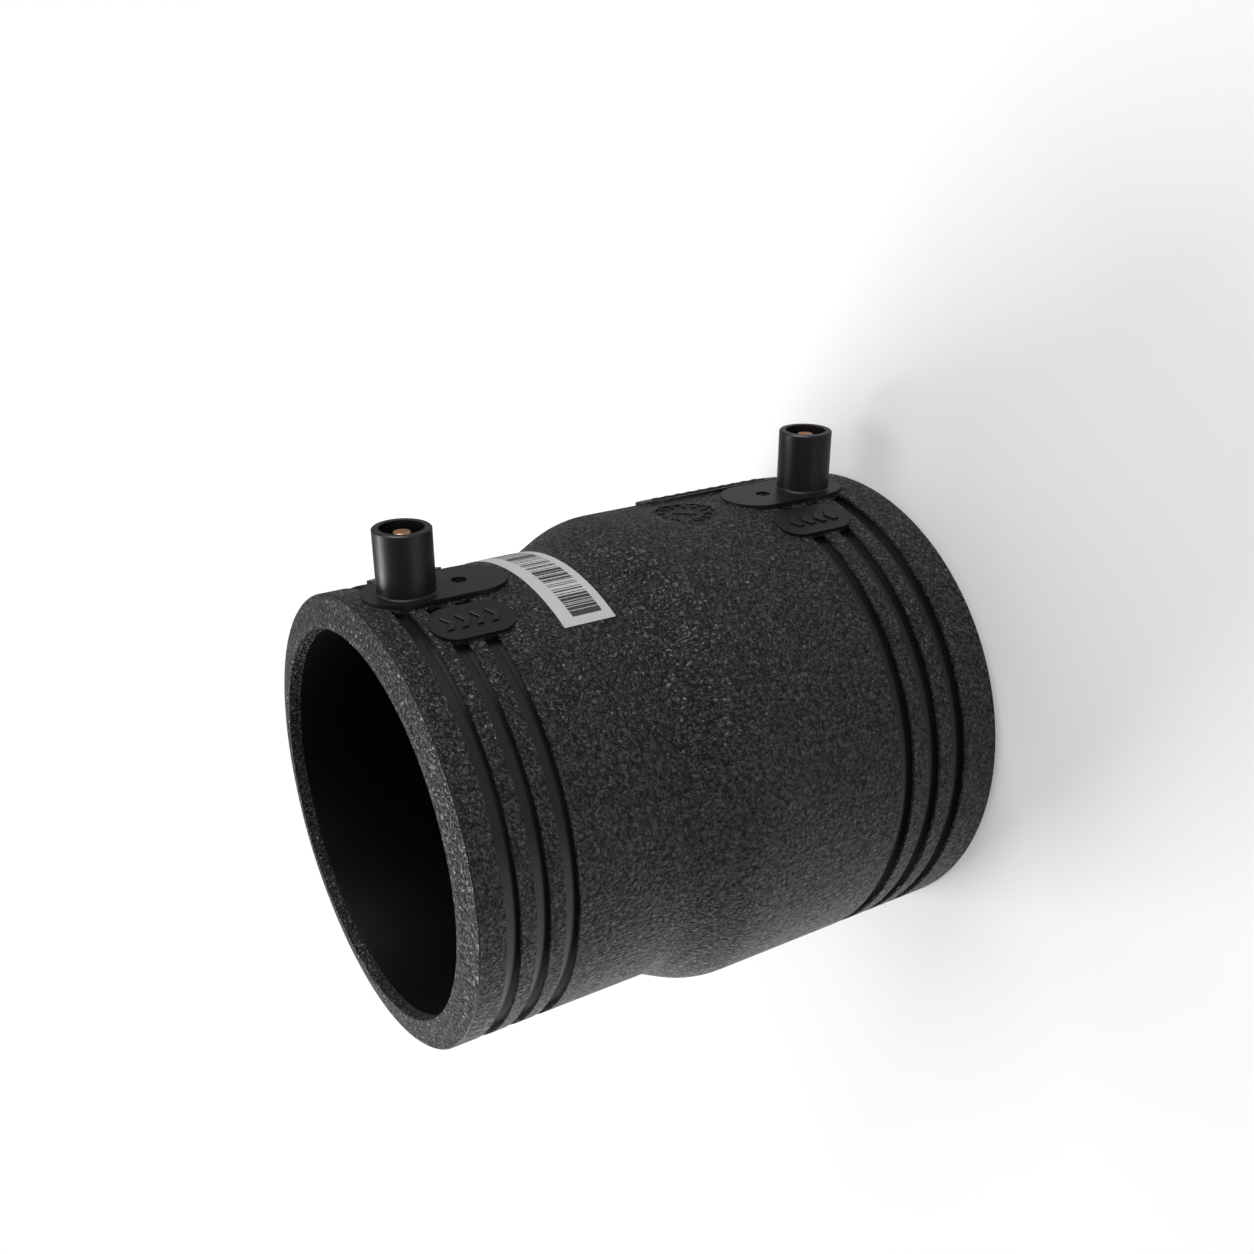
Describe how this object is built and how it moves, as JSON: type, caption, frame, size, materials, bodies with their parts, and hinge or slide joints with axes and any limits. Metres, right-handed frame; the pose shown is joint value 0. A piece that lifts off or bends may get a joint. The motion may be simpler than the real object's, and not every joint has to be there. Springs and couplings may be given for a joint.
{
  "type": "electrofusion reducer",
  "caption": "Electrofusion reducer: stepped pipe sockets with buried heating coils, grip grooves and shrouded contact pins.",
  "frame": {"origin": "centre of the large socket's mouth, on the bore axis", "axes": "+Z along the bore from the large socket to the small one; the terminals point to -Y"},
  "size_m": [0.1444, 0.1624, 0.1716],
  "materials": {
    "pe_black": "black polyethylene, grained outside and satin in grooves and on pads",
    "contact_copper": "copper-plated brass, bright drawn",
    "coil_wire": "coated copper resistance wire moulded into one sleeve",
    "link_copper": "drawn copper wire",
    "label_white": "matt white printed film"
  },
  "bodies": {
    "root": {"reducer_body": "pe_black", "large_contact_pin": "contact_copper", "small_contact_pin": "contact_copper", "large_heating_coil": "coil_wire", "small_heating_coil": "coil_wire", "link_wire": "link_copper", "large_fusion_indicator": "pe_black", "small_fusion_indicator": "pe_black", "barcode_label": "label_white"}
  },
  "joints": []
}
